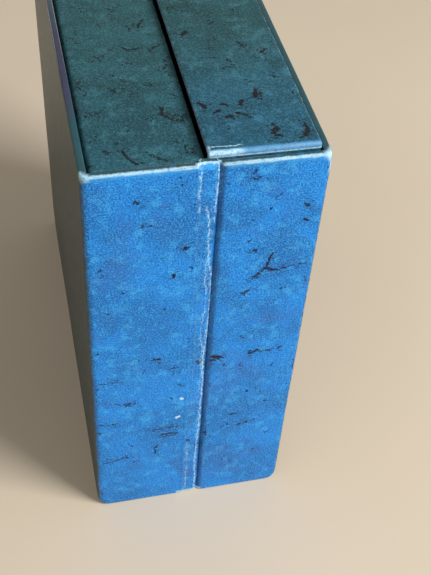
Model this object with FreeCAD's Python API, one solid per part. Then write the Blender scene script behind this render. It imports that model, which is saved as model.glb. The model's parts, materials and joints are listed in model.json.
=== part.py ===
import FreeCAD, Part
import math
import os

# A book-shaped case of covered board that stands on its tail edges. It opens like a book about a
# double crease down the middle of its spine. Each half is an L of two boards with a tray glued
# inside it, and the left tray holds a ring mechanism with a trigger at each end.
#
# Frame: origin at the bottom centre of the closed case, X across the spine (left to right), Y from
# the spine (front) to the fore-edge (back), Z up. Millimetres. Each half is drawn on the left side
# and the right half is mirrored across X = 0.

# ---- overall sizes ----
CASE_WIDTH = 96.0            # across the two spine boards
CASE_DEPTH = 222.0           # spine face to fore-edge
CASE_HEIGHT = 226.0          # tail to head of the boards

# ---- board, paper and cloth ----
COVER_BOARD = 2.6            # greyboard of the covers and the spine
TRAY_BOARD = 2.2             # greyboard of the trays
PAPER = 0.3                  # printed covering paper and lining paper
CLOTH = 0.3                  # hinge cloth behind the spine joint
TURN_IN = 15.0               # width of the paper turned over an edge
EDGE_ROUND = 0.6             # rounding of a covered board edge
LEFT_ARRIS = 3.0             # rounding of the corner between left cover and spine
RIGHT_ARRIS = 1.6            # the same on the right

# ---- spine joint ----
OPEN_FACE_GAP = 1.4          # between the two spine faces when they lie back to back
CREASE_TO_BOARD = 0.7        # crease line to the covered edge of its spine board
STRIP_CLEARANCE = 0.2        # each end of the moving strip to its crease line
JOINT_INSET = 0.4            # crease plane outside the inner face of the spine
JOINT_END_GAP = 0.5          # strip short of the case's head and tail
FLANGE_WIDTH = 16.0          # hinge cloth glued to each spine board
FLANGE_EDGE = 0.3            # cloth past the spine board's edge

# ---- trays ----
TRAY_SHORTFALL = 3.7         # tray shorter than the case
LEFT_TRAY_BOTTOM = 2.0       # tail of the left tray above the table
RIGHT_TRAY_BOTTOM = 6.0      # tail of the right tray above the table
TRAY_GAP = 1.7               # between the rims of the two closed trays
SPINE_GAP = 0.8              # tray to the inside of the spine
FORE_INSET = 2.5             # tray behind the covers' fore-edges
LEFT_TRAY_ROUND = 3.0        # rounding of the left tray's corners
RIGHT_TRAY_ROUND = 1.8       # rounding of the right tray's corners

# ---- hidden magnets in the fore walls ----
MAGNET_LENGTH = 20.0
MAGNET_WIDTH = 5.0
MAGNET_THICKNESS = 1.6
MAGNET_RIM = 1.5             # board left between magnet and rim
MAGNET_FROM_END = 46.0       # middle of a magnet to the end of the tray

# ---- ring mechanism ----
RING_FROM_SPINE_WALL = 42.0  # ring centre line to the inside of the spine wall
RING_FROM_END = 30.85        # outermost ring to the inside of the tray's end
RING_PAIR_SPACING = 45.0     # outermost ring to its neighbour
RING_RADIUS = 20.0           # to the middle of the wire
WIRE_RADIUS = 1.6
LEG_TO_PIVOT = 2.9           # upright leg of a ring to the rail's pivot line
LEG_BEND = 4.0               # bend between the leg and the round part
LEG_TOP_ABOVE_HOUSING = 0.45
RING_TIP_GAP = 0.3           # between the closed ends of a ring
HOUSING_PAST_RING = 14.5     # end of the housing past the outermost ring
HOUSING_WIDTH = 28.0
HOUSING_SKIRT = 3.5          # upright side of the housing
HOUSING_RISE = 5.0           # crown above the skirt
HOUSING_STEEL = 0.8
SLOT_CLEARANCE = 0.6         # around a leg and its travel
RAIL_THICKNESS = 1.0
RAIL_HEIGHT = 2.6            # middle of a rail above the tray floor
RAIL_TO_SKIRT = 0.8          # rail pivot line to the inside of the skirt
RAIL_MIDDLE_GAP = 0.6        # between the two rails
RAIL_OPEN_ANGLE = 14.0
RAIL_TAB_WIDTH = 4.4         # narrow end of a rail, from the centre line
RAIL_TAB_SETBACK = 1.0       # end of the tab inside the housing's end
RAIL_END_SETBACK = 6.0       # end of the full width inside the housing's end
EAR_OFFSET = 5.1             # inside face of a pivot ear to the centre line
EAR_LENGTH = 10.0
EAR_OVERLAP = 5.0            # part of the ear inside the housing
EAR_FLOOR_GAP = 0.3
EAR_TOP = 4.4
TRIGGER_PIVOT_OUT = 2.0      # pivot beyond the housing's end
TRIGGER_PIVOT_HEIGHT = 1.9
TRIGGER_HUB_RADIUS = 1.6
TRIGGER_PIN_RADIUS = 0.9
TRIGGER_PIN_PLAY = 0.08
TRIGGER_SIDE_PLAY = 0.4
TRIGGER_STEEL = 1.2
TONGUE_REACH = 4.5
TONGUE_THICKNESS = 0.8
TONGUE_HEIGHT = 0.8          # underside above the tray floor
HANDLE_LENGTH = 14.0
HANDLE_LEAN = 12.0           # degrees from upright, outwards
HANDLE_WIDTH = 17.0
HANDLE_ROUND = 5.0
RIVET_SHANK_RADIUS = 2.0
RIVET_HEAD_RADIUS = 4.0
RIVET_HEAD_HEIGHT = 1.2
RIVET_FOOT_THICKNESS = 0.4
RIVET_CLEARANCE = 0.8        # rails around the shank

# ---- worked out from the sizes above ----
HALF_WIDTH = CASE_WIDTH / 2
HALF_DEPTH = CASE_DEPTH / 2
COVERED_BOARD = COVER_BOARD + 2 * PAPER
COVERED_WALL = TRAY_BOARD + 2 * PAPER
SPINE_INSIDE = -HALF_DEPTH + COVERED_BOARD
JOINT_PLANE = SPINE_INSIDE - JOINT_INSET
CREASE_SPACING = 2 * (COVERED_BOARD - JOINT_INSET) + OPEN_FACE_GAP
GROOVE_WIDTH = CREASE_SPACING + 2 * CREASE_TO_BOARD
TRAY_OUTER_X = -HALF_WIDTH + COVERED_BOARD
TRAY_RIM_X = -TRAY_GAP / 2
TRAY_FRONT = SPINE_INSIDE + SPINE_GAP
TRAY_BACK = HALF_DEPTH - FORE_INSET
TRAY_HEIGHT = CASE_HEIGHT - TRAY_SHORTFALL
FLOOR_X = TRAY_OUTER_X + COVERED_WALL
RING_Y = TRAY_FRONT + COVERED_WALL + RING_FROM_SPINE_WALL
LEFT_TRAY_MIDDLE = LEFT_TRAY_BOTTOM + TRAY_HEIGHT / 2
OUTER_RING = TRAY_HEIGHT / 2 - COVERED_WALL - RING_FROM_END
INNER_RING = OUTER_RING - RING_PAIR_SPACING
HOUSING_HALF = OUTER_RING + HOUSING_PAST_RING
HOUSING_CROWN = HOUSING_SKIRT + HOUSING_RISE
HOUSING_ARC = ((HOUSING_WIDTH / 2) ** 2 + HOUSING_RISE ** 2) / (2 * HOUSING_RISE)
RAIL_PIVOT_OFFSET = HOUSING_WIDTH / 2 - HOUSING_STEEL - RAIL_TO_SKIRT
LEG_OFFSET = RAIL_PIVOT_OFFSET - LEG_TO_PIVOT

X_AXIS = FreeCAD.Vector(1, 0, 0)
Y_AXIS = FreeCAD.Vector(0, 1, 0)
Z_AXIS = FreeCAD.Vector(0, 0, 1)
ORIGIN = FreeCAD.Vector(0, 0, 0)


def block(low, high):
    """A box between two corners, each an (x, y, z)."""
    size = [b - a for a, b in zip(low, high)]
    return Part.makeBox(size[0], size[1], size[2], FreeCAD.Vector(*low))


def fuse_all(shapes):
    """One solid from several that touch or overlap."""
    result = shapes[0]
    for shape in shapes[1:]:
        result = result.fuse(shape)
    return result.removeSplitter()


def whole(shape):
    """The one solid that a cut has left."""
    return shape.Solids[0]


def save(name, shape):
    """Write one sub-part."""
    shape.exportStep("parts/" + name + ".step")


def edges_along(shape, axis):
    """The straight edges of a shape that run along an axis."""
    found = []
    for edge in shape.Edges:
        if isinstance(edge.Curve, Part.Line) and abs(edge.Curve.Direction.dot(axis)) > 0.999:
            found.append(edge)
    return found


def edges_at(edges, coordinate, value):
    """Those of the edges whose middle has the value on one coordinate, 0, 1 or 2."""
    found = []
    for edge in edges:
        if abs(edge.CenterOfMass[coordinate] - value) < 1e-4:
            found.append(edge)
    return found


# ---- the case: two boards in an L, and the paper around them ----

def half_case_solid(grow, arris):
    """The L of cover and spine, grown outwards from the bare boards by a thickness."""
    low_x = -HALF_WIDTH + PAPER - grow
    low_y = -HALF_DEPTH + PAPER - grow
    low_z = PAPER - grow
    high_z = CASE_HEIGHT - low_z
    board = COVER_BOARD + 2 * grow
    cover = block((low_x, low_y, low_z), (low_x + board, -low_y, high_z))
    spine_edge = -GROOVE_WIDTH / 2 - PAPER + grow
    spine = block((low_x, low_y, low_z), (spine_edge, low_y + board, high_z))
    solid = fuse_all([cover, spine])
    corner = edges_at(edges_at(edges_along(solid, Z_AXIS), 0, low_x), 1, low_y)
    solid = solid.makeFillet(arris - PAPER + grow, corner)
    if grow > 0:
        solid = round_case_edges(solid, low_z, high_z, spine_edge, -low_y)
    return solid


def round_case_edges(solid, low_z, high_z, spine_edge, back):
    """Soften the covered edges at the head, tail, fore-edge and joint."""
    upright = edges_along(solid, Z_AXIS)
    free = edges_at(upright, 0, spine_edge) + edges_at(upright, 1, back)
    loops = edges_at(solid.Edges, 2, low_z) + edges_at(solid.Edges, 2, high_z)
    return solid.makeFillet(EDGE_ROUND, free + loops)


def half_case(arris):
    """Cover board, spine board and outer wrap of the left half."""
    core = half_case_solid(0, arris)
    split_x = -HALF_WIDTH + PAPER + COVER_BOARD
    far = CASE_HEIGHT + CASE_DEPTH
    cover_side = block((-far, -far, -far), (split_x, far, far))
    cover_board = whole(core.common(cover_side))
    spine_board = whole(core.cut(cover_side))
    window = block((split_x, SPINE_INSIDE + TURN_IN, TURN_IN),
                   (TRAY_OUTER_X + PAPER, HALF_DEPTH - TURN_IN, CASE_HEIGHT - TURN_IN))
    wrap = half_case_solid(PAPER, arris).cut(core).cut(window)
    flange = block((-GROOVE_WIDTH / 2 - FLANGE_WIDTH, SPINE_INSIDE, PAPER),
                   (-GROOVE_WIDTH / 2 + FLANGE_EDGE, SPINE_INSIDE + CLOTH, CASE_HEIGHT - PAPER))
    return {
        "cover_board": cover_board,
        "spine_board": spine_board,
        "outer_wrap": wrap,
        "hinge_cloth": flange,
    }


# ---- a tray: five boards, the paper around them and a lining on the floor ----

def tray_solid(inset, bottom, rounding):
    """The tray with its hollow, taken inwards from its outside by a thickness."""
    low = (TRAY_OUTER_X + inset, TRAY_FRONT + inset, bottom + inset)
    high = (TRAY_RIM_X - inset, TRAY_BACK - inset, bottom + TRAY_HEIGHT - inset)
    solid = block(low, high)
    corners = edges_along(solid, X_AXIS)
    base = edges_at(solid.Edges, 0, low[0])
    solid = solid.makeFillet(rounding - inset, corners + base)
    if inset == 0:
        solid = solid.makeFillet(EDGE_ROUND, edges_at(solid.Edges, 0, high[0]))
    wall = COVERED_WALL - 2 * inset
    hollow = block([v + wall for v in low], (high[0] + wall, high[1] - wall, high[2] - wall))
    return whole(solid.cut(hollow))


def half_tray(bottom, rounding):
    """The boards, wrap, lining and magnets of the left tray."""
    core = tray_solid(PAPER, bottom, rounding)
    top = bottom + TRAY_HEIGHT
    edge = PAPER + TRAY_BOARD
    far = CASE_HEIGHT + CASE_DEPTH
    base_side = block((-far, -far, -far), (TRAY_OUTER_X + edge, far, far))
    head_side = block((-far, -far, top - edge), (far, far, far))
    tail_side = block((-far, -far, -far), (far, far, bottom + edge))
    front_side = block((-far, -far, -far), (far, TRAY_FRONT + edge, far))
    base = whole(core.common(base_side))
    walls = whole(core.cut(base_side))
    head_wall = whole(walls.common(head_side))
    tail_wall = whole(walls.common(tail_side))
    sides = walls.cut(head_side.fuse(tail_side))
    spine_wall = whole(sides.common(front_side))
    fore_wall = whole(sides.cut(front_side))
    magnets = tray_magnets(bottom + TRAY_HEIGHT / 2)
    window = block((TRAY_OUTER_X - PAPER, TRAY_FRONT + TURN_IN, bottom + TURN_IN),
                   (TRAY_OUTER_X + PAPER, TRAY_BACK - TURN_IN, top - TURN_IN))
    floor_low = (TRAY_OUTER_X + edge, TRAY_FRONT + COVERED_WALL, bottom + COVERED_WALL)
    floor_high = (FLOOR_X, TRAY_BACK - COVERED_WALL, top - COVERED_WALL)
    lining = block(floor_low, floor_high)
    wrap = tray_solid(0, bottom, rounding).cut(core).cut(window).cut(lining)
    return {
        "tray_base": base,
        "tray_head_wall": head_wall,
        "tray_tail_wall": tail_wall,
        "tray_spine_wall": spine_wall,
        "tray_fore_wall": fore_wall.cut(magnets),
        "tray_wrap": wrap,
        "tray_lining": lining,
        "magnets": magnets,
    }


def tray_magnets(middle):
    """Two bar magnets let into the outside of the fore wall, close to its rim."""
    high_x = TRAY_RIM_X - PAPER - MAGNET_RIM
    high_y = TRAY_BACK - PAPER
    bars = []
    for side in (-1, 1):
        z = middle + side * (TRAY_HEIGHT / 2 - MAGNET_FROM_END)
        low = (high_x - MAGNET_WIDTH, high_y - MAGNET_THICKNESS, z - MAGNET_LENGTH / 2)
        bars.append(block(low, (high_x, high_y, z + MAGNET_LENGTH / 2)))
    return Part.makeCompound(bars)


# ---- the joint strip between the two crease lines ----

def joint_strip():
    """Printed paper outside and hinge cloth inside, free to turn at both creases."""
    half = CREASE_SPACING / 2 - STRIP_CLEARANCE
    low_z = JOINT_END_GAP
    high_z = CASE_HEIGHT - JOINT_END_GAP
    paper = block((-half, JOINT_PLANE - PAPER, low_z), (half, JOINT_PLANE, high_z))
    cloth = block((-half, JOINT_PLANE, low_z), (half, JOINT_PLANE + CLOTH, high_z))
    return {"joint_paper": paper, "joint_cloth": cloth}


# ---- the ring mechanism, drawn on the floor of the left tray ----

def on_floor(height, across, z):
    """A point from its height over the tray floor and its distance behind the centre line."""
    return FreeCAD.Vector(FLOOR_X + height, RING_Y + across, z)


def floor_block(heights, acrosses, levels):
    """A box from its ranges of height, distance behind the centre line, and level."""
    low = on_floor(heights[0], acrosses[0], levels[0])
    high = on_floor(heights[1], acrosses[1], levels[1])
    return block(tuple(low), tuple(high))


def ring_levels():
    """The Z of each ring, about the middle of the left tray."""
    return [LEFT_TRAY_MIDDLE + level for level in (-OUTER_RING, -INNER_RING, INNER_RING, OUTER_RING)]


def rivet_levels():
    """The Z of each rivet, half-way between the two rings of a pair."""
    half_way = (OUTER_RING + INNER_RING) / 2
    return [LEFT_TRAY_MIDDLE - half_way, LEFT_TRAY_MIDDLE + half_way]


def arch_height(across, radius):
    """Height of the housing's curved top at a distance from the centre line."""
    return HOUSING_CROWN - HOUSING_ARC + math.sqrt(radius ** 2 - across ** 2)


def housing_section(half, radius, z):
    """The face under the housing's outline: two skirts and an arch."""
    shoulder = arch_height(half, radius)
    crown = arch_height(0, radius)
    corners = [on_floor(shoulder, half, z), on_floor(0, half, z),
               on_floor(0, -half, z), on_floor(shoulder, -half, z)]
    arch = Part.Arc(corners[3], on_floor(crown, 0, z), corners[0]).toShape()
    sides = [Part.LineSegment(a, b).toShape() for a, b in zip(corners, corners[1:])]
    return Part.Face(Part.Wire(sides + [arch]))


def ring_housing():
    """Sprung steel cover with skirts, leg slots, rivet holes and pivot ears at both ends."""
    start = LEFT_TRAY_MIDDLE - HOUSING_HALF
    half = HOUSING_WIDTH / 2
    run = Z_AXIS * (2 * HOUSING_HALF)
    outside = housing_section(half, HOUSING_ARC, start).extrude(run)
    inside = housing_section(half - HOUSING_STEEL, HOUSING_ARC - HOUSING_STEEL, start).extrude(run)
    ears = []
    for end in (-1, 1):
        ears.extend(pivot_ears(end))
    shell = fuse_all([outside.cut(inside)] + ears)
    travel = (leg_top_height() - RAIL_HEIGHT) * math.sin(math.radians(RAIL_OPEN_ANGLE))
    near = LEG_OFFSET - WIRE_RADIUS - SLOT_CLEARANCE
    far = LEG_OFFSET + WIRE_RADIUS + travel + SLOT_CLEARANCE
    reach = WIRE_RADIUS + SLOT_CLEARANCE
    cuts = []
    for z in ring_levels():
        for low, high in ((near, far), (-far, -near)):
            heights = (HOUSING_SKIRT - SLOT_CLEARANCE / 2, HOUSING_CROWN + HOUSING_STEEL)
            cuts.append(floor_block(heights, (low, high), (z - reach, z + reach)))
    for z in rivet_levels():
        cuts.append(Part.makeCylinder(RIVET_SHANK_RADIUS, HOUSING_CROWN * 2, on_floor(0, 0, z), X_AXIS))
    return shell.cut(Part.makeCompound(cuts))


def trigger_pivot(end):
    """The pivot of the trigger at one end, -1 at the bottom and 1 at the top."""
    level = LEFT_TRAY_MIDDLE + end * (HOUSING_HALF + TRIGGER_PIVOT_OUT)
    return on_floor(TRIGGER_PIVOT_HEIGHT, 0, level)


def pivot_ears(end):
    """The two ears that hold a trigger's pin."""
    edge = LEFT_TRAY_MIDDLE + end * HOUSING_HALF
    levels = sorted((edge - end * EAR_OVERLAP, edge + end * (EAR_LENGTH - EAR_OVERLAP)))
    inner_levels = sorted((edge - end * EAR_OVERLAP, edge))
    hole_radius = TRIGGER_PIN_RADIUS + TRIGGER_PIN_PLAY
    width = EAR_OFFSET + HOUSING_STEEL
    hole = Part.makeCylinder(hole_radius, 4 * width, trigger_pivot(end) - Y_AXIS * 2 * width, Y_AXIS)
    ears = []
    for low, high in ((EAR_OFFSET, width), (-width, -EAR_OFFSET)):
        plate = floor_block((EAR_FLOOR_GAP, EAR_TOP), (low, high), levels)
        post_top = arch_height(width, HOUSING_ARC - HOUSING_STEEL / 2)
        post = floor_block((EAR_FLOOR_GAP, post_top), (low, high), inner_levels)
        ears.append(plate.fuse(post).cut(hole))
    return ears


def housing_rivets():
    """Tubular rivets from the crown of the housing down through the tray's base."""
    base_under = -COVERED_WALL + PAPER
    rivets = []
    for z in rivet_levels():
        foot = Part.makeCylinder(RIVET_HEAD_RADIUS, RIVET_FOOT_THICKNESS,
                                 on_floor(base_under - RIVET_FOOT_THICKNESS, 0, z), X_AXIS)
        shank = Part.makeCylinder(RIVET_SHANK_RADIUS, HOUSING_CROWN - base_under,
                                  on_floor(base_under, 0, z), X_AXIS)
        head = Part.makeCylinder(RIVET_HEAD_RADIUS, RIVET_HEAD_HEIGHT,
                                 on_floor(HOUSING_CROWN, 0, z), X_AXIS)
        crown = edges_at(head.Edges, 0, FLOOR_X + HOUSING_CROWN + RIVET_HEAD_HEIGHT)
        head = head.makeFillet(RIVET_HEAD_HEIGHT / 2, crown)
        rivets.append(fuse_all([foot, shank, head]))
    return rivets


def leg_top_height():
    """Height over the floor where a ring's upright leg starts to bend outwards."""
    return arch_height(LEG_OFFSET, HOUSING_ARC) + LEG_TOP_ABOVE_HOUSING


def ring_half(side, z):
    """Half of a ring, -1 in front of the centre line and 1 behind it."""
    turn = math.acos((LEG_OFFSET + LEG_BEND) / (RING_RADIUS + LEG_BEND))
    leg_top = leg_top_height()
    centre = leg_top + (RING_RADIUS + LEG_BEND) * math.sin(turn)

    def bend_point(angle):
        height = leg_top + LEG_BEND * math.sin(angle)
        return on_floor(height, side * (LEG_OFFSET + LEG_BEND * (1 - math.cos(angle))), z)

    def round_point(angle):
        height = centre - RING_RADIUS * math.cos(angle)
        return on_floor(height, side * RING_RADIUS * math.sin(angle), z)

    foot = on_floor(RAIL_HEIGHT - RAIL_THICKNESS / 2, side * LEG_OFFSET, z)
    first = math.pi / 2 - turn
    last = math.pi - math.asin(RING_TIP_GAP / 2 / RING_RADIUS)
    leg = Part.LineSegment(foot, bend_point(0)).toShape()
    bend = Part.Arc(bend_point(0), bend_point(turn / 2), bend_point(turn)).toShape()
    rounded = Part.Arc(round_point(first), round_point((first + last) / 2), round_point(last)).toShape()
    circle = Part.Wire(Part.Circle(foot, X_AXIS, WIRE_RADIUS).toShape())
    return Part.Wire([leg, bend, rounded]).makePipeShell([circle], True, True)


def ring_halves(side):
    """The halves of all the rings on one side, staked into that side's rail."""
    return [ring_half(side, z) for z in ring_levels()]


def rail(side, rings):
    """One of the two rails that tip against each other inside the housing."""
    middle = side * RAIL_MIDDLE_GAP / 2
    heights = (RAIL_HEIGHT - RAIL_THICKNESS / 2, RAIL_HEIGHT + RAIL_THICKNESS / 2)
    plates = []
    for width, setback in ((RAIL_PIVOT_OFFSET, RAIL_END_SETBACK), (RAIL_TAB_WIDTH, RAIL_TAB_SETBACK)):
        acrosses = sorted((middle, side * width))
        reach = HOUSING_HALF - setback
        levels = (LEFT_TRAY_MIDDLE - reach, LEFT_TRAY_MIDDLE + reach)
        plates.append(floor_block(heights, acrosses, levels))
    notch = RIVET_SHANK_RADIUS + RIVET_CLEARANCE
    cuts = []
    for z in rivet_levels():
        base = on_floor(0, 0, z)
        cuts.append(Part.makeCylinder(notch, HOUSING_CROWN, base, X_AXIS))
    return fuse_all(plates).cut(Part.makeCompound(cuts + rings))


def trigger(end):
    """Lever that tips the rails: hub and pin, a tongue under the rails and a broad handle."""
    pivot = trigger_pivot(end)
    half = EAR_OFFSET - TRIGGER_SIDE_PLAY
    pin_half = EAR_OFFSET + 2 * HOUSING_STEEL
    hub = Part.makeCylinder(TRIGGER_HUB_RADIUS, 2 * half, pivot - Y_AXIS * half, Y_AXIS)
    pin = Part.makeCylinder(TRIGGER_PIN_RADIUS, 2 * pin_half, pivot - Y_AXIS * pin_half, Y_AXIS)
    tongue_levels = sorted((pivot.z - end * TONGUE_REACH, pivot.z))
    tongue = floor_block((TONGUE_HEIGHT, TONGUE_HEIGHT + TONGUE_THICKNESS),
                         (-RAIL_TAB_WIDTH, RAIL_TAB_WIDTH), tongue_levels)
    thick = (-TRIGGER_STEEL / 2, TRIGGER_STEEL / 2)
    neck = block((0, -half, thick[0]), (HANDLE_LENGTH / 2, half, thick[1]))
    blade = block((HANDLE_LENGTH / 3, -HANDLE_WIDTH / 2, thick[0]),
                  (HANDLE_LENGTH, HANDLE_WIDTH / 2, thick[1]))
    blade = blade.makeFillet(HANDLE_ROUND, edges_at(edges_along(blade, Z_AXIS), 0, HANDLE_LENGTH))
    handle = neck.fuse(blade)
    handle.rotate(ORIGIN, Y_AXIS, -end * HANDLE_LEAN)
    handle.translate(pivot)
    return fuse_all([hub, pin, tongue, handle])


def mechanism():
    """Every part of the ring mechanism."""
    front_rings = ring_halves(-1)
    back_rings = ring_halves(1)
    return {
        "ring_housing": ring_housing(),
        "housing_rivets": Part.makeCompound(housing_rivets()),
        "front_rings": Part.makeCompound(front_rings),
        "back_rings": Part.makeCompound(back_rings),
        "front_rail": rail(-1, front_rings),
        "back_rail": rail(1, back_rings),
        "bottom_trigger": trigger(-1),
        "top_trigger": trigger(1),
    }


def main():
    """Build every sub-part and write it."""
    os.makedirs("parts", exist_ok=True)
    rings = mechanism()
    left = {**half_case(LEFT_ARRIS), **half_tray(LEFT_TRAY_BOTTOM, LEFT_TRAY_ROUND)}
    left["tray_base"] = left["tray_base"].cut(rings["housing_rivets"])
    left["tray_lining"] = left["tray_lining"].cut(rings["housing_rivets"])
    right = {**half_case(RIGHT_ARRIS), **half_tray(RIGHT_TRAY_BOTTOM, RIGHT_TRAY_ROUND)}
    for name, shape in left.items():
        save("left_" + name, shape)
    for name, shape in right.items():
        save("right_" + name, shape.mirror(ORIGIN, X_AXIS))
    for name, shape in {**joint_strip(), **rings}.items():
        save(name, shape)


main()
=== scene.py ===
"""A box ring binder in printed, worn paper over board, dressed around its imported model.

The case stands on its tail edges. X runs across the spine, Y from the spine to the fore-edge and Z
up. Every size below is in millimetres and every named angle in degrees, unless its description says
otherwise. Meshes are in metres.
"""
import json
import logging
import math
from dataclasses import dataclass, field
from enum import Enum
from typing import Callable, Iterable, Sequence, Union

import bmesh
import bpy
from mathutils import Matrix, Vector, noise


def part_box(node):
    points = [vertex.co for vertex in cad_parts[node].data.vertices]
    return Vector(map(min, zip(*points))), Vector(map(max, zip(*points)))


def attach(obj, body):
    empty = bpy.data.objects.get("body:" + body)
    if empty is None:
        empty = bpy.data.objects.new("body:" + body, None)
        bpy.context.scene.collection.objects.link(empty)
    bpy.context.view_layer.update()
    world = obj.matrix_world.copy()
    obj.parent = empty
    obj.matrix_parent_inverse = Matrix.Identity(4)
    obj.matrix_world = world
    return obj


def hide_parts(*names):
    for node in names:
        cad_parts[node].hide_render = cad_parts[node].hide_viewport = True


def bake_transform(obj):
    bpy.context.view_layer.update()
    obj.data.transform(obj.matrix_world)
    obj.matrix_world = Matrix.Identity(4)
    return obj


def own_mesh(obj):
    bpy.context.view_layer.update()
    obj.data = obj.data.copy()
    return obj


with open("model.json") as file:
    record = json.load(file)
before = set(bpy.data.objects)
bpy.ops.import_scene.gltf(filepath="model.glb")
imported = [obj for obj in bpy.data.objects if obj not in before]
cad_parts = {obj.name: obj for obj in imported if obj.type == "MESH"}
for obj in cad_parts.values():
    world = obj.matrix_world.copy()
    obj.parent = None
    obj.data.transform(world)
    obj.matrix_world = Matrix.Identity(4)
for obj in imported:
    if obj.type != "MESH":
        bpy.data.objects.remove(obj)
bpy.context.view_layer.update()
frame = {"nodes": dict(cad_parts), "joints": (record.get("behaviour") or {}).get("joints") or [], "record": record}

LOG = logging.getLogger("binder")
MM = 0.001
TOUCH = 0.1
SMOOTH_BELOW = 32
SHARP_ABOVE = 40
Colour = tuple[float, float, float]
Feed = Union[bpy.types.NodeSocket, float, Sequence[float]]


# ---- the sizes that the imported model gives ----

def box_mm(node: str) -> tuple[Vector, Vector]:
    """Lowest and highest corner of a CAD node, in millimetres."""
    low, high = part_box(node)
    return low / MM, high / MM


class Side(Enum):
    """Which half of the case a piece belongs to."""

    LEFT = "left"
    RIGHT = "right"

    @property
    def sign(self) -> int:
        """-1 on the left of the spine's middle, 1 on the right."""
        return -1 if self is Side.LEFT else 1

    @property
    def body(self) -> str:
        """The moving body of this half."""
        return f"{self.value}_half"


# ---- modelling by hand, in code ----

def deselect() -> None:
    """Leave edit mode and deselect every object."""
    if bpy.context.object is not None and bpy.context.object.mode != "OBJECT":
        bpy.ops.object.mode_set(mode="OBJECT")
    bpy.ops.object.select_all(action="DESELECT")


def take(piece: bpy.types.Object) -> bpy.types.Object:
    """Make a piece the only selected and active object.

    Args:
        piece: the object to take.

    Returns:
        The same object.
    """
    deselect()
    piece.select_set(True)
    bpy.context.view_layer.objects.active = piece
    return piece


def settle(piece: bpy.types.Object, name: str) -> bpy.types.Object:
    """Name a new piece and put its place into its mesh.

    Args:
        piece: the new object.
        name: its name.

    Returns:
        The same object.
    """
    take(piece)
    bpy.ops.object.transform_apply(location=True, rotation=True, scale=True)
    piece.name = name
    piece.data.name = name
    return piece


def block(name: str, low: Vector, high: Vector) -> bpy.types.Object:
    """A box between two corners, as the start of a piece.

    Args:
        name: the piece's name.
        low: lowest corner in millimetres.
        high: highest corner in millimetres.

    Returns:
        The new object.
    """
    deselect()
    centre = (low + high) / 2 * MM
    bpy.ops.mesh.primitive_cube_add(size=1, location=centre, scale=(high - low) * MM)
    return settle(bpy.context.object, name)


def shape(piece: bpy.types.Object, elements: str, wanted: Callable, operate: Callable) -> int:
    """Select some of a piece's faces, edges or vertices and run an operator on them.

    Args:
        piece: the object to edit.
        elements: "faces", "edges" or "verts".
        wanted: says of an element whether it is selected.
        operate: runs the operator.

    Returns:
        How many elements were selected.
    """
    take(piece)
    mode = {"faces": "FACE", "edges": "EDGE", "verts": "VERT"}[elements]
    bpy.ops.object.mode_set(mode="EDIT")
    bpy.ops.mesh.select_mode(type=mode)
    bpy.ops.mesh.select_all(action="DESELECT")
    mesh = bmesh.from_edit_mesh(piece.data)
    chosen = [e for e in getattr(mesh, elements) if wanted(e)]
    for element in chosen:
        element.select_set(True)
    mesh.select_flush_mode()
    bmesh.update_edit_mesh(piece.data)
    if chosen:
        operate()
    bpy.ops.object.mode_set(mode="OBJECT")
    return len(chosen)


def slice_at(piece: bpy.types.Object, axis: int, places: Iterable[float]) -> None:
    """Cut a piece's faces along planes across one axis.

    Args:
        piece: the object to cut.
        axis: 0, 1 or 2 for x, y or z.
        places: where the planes lie on that axis, in millimetres.
    """
    normal = [0.0, 0.0, 0.0]
    normal[axis] = 1.0
    take(piece)
    bpy.ops.object.mode_set(mode="EDIT")
    for place in places:
        point = [0.0, 0.0, 0.0]
        point[axis] = place * MM
        bpy.ops.mesh.select_all(action="SELECT")
        bpy.ops.mesh.bisect(plane_co=point, plane_no=normal)
    bpy.ops.object.mode_set(mode="OBJECT")


def spread(low: float, high: float, step: float) -> list[float]:
    """Space places evenly between two ends.

    Args:
        low: the lower end.
        high: the upper end.
        step: about how far apart the places are.

    Returns:
        The places, without the two ends.
    """
    count = max(1, round((high - low) / step))
    return [low + (high - low) * i / count for i in range(1, count)]


def soften(piece: bpy.types.Object, width: float, segments: int, wanted: Callable) -> int:
    """Round some edges of a piece.

    Args:
        piece: the object to edit.
        width: width of the rounding in millimetres.
        segments: how many faces it has across.
        wanted: says of an edge whether it is rounded.

    Returns:
        How many edges were rounded.
    """
    return shape(piece, "edges", wanted, lambda: bpy.ops.mesh.bevel(
        offset=width * MM, segments=segments, profile=0.5, affect="EDGES"))


def middle(element: Union[bmesh.types.BMEdge, bmesh.types.BMFace]) -> Vector:
    """The middle of an edge or face, in millimetres."""
    points = [v.co for v in element.verts]
    return sum(points, Vector()) / len(points) / MM


def runs_along(edge: bmesh.types.BMEdge, axis: int) -> bool:
    """Whether an edge is parallel to an axis."""
    run = edge.verts[1].co - edge.verts[0].co
    return abs(run[axis]) > 0.999 * run.length


def is_sharp(edge: bmesh.types.BMEdge) -> bool:
    """Whether an edge is an outward corner."""
    return len(edge.link_faces) == 2 and edge.calc_face_angle_signed() > math.radians(SHARP_ABOVE)


def move_points(piece: bpy.types.Object, mover: Callable[[Vector, Vector], Vector]) -> None:
    """Move each point of a piece.

    Args:
        piece: the object to edit.
        mover: gives the move for a point's place and normal, all in millimetres but the normal.
    """
    normals = [v.normal.copy() for v in piece.data.vertices]
    for vertex, normal in zip(piece.data.vertices, normals):
        vertex.co += mover(vertex.co / MM, normal) * MM
    piece.data.update()


def finish_piece(piece: bpy.types.Object, material: bpy.types.Material) -> None:
    """Smooth a piece and dress it.

    Args:
        piece: the finished object.
        material: what it is dressed in.
    """
    take(piece)
    bpy.ops.object.shade_smooth_by_angle(angle=math.radians(SMOOTH_BELOW))
    piece.data.materials.clear()
    piece.data.materials.append(material)
    LOG.info("%s: %d faces", piece.name, len(piece.data.polygons))


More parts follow.
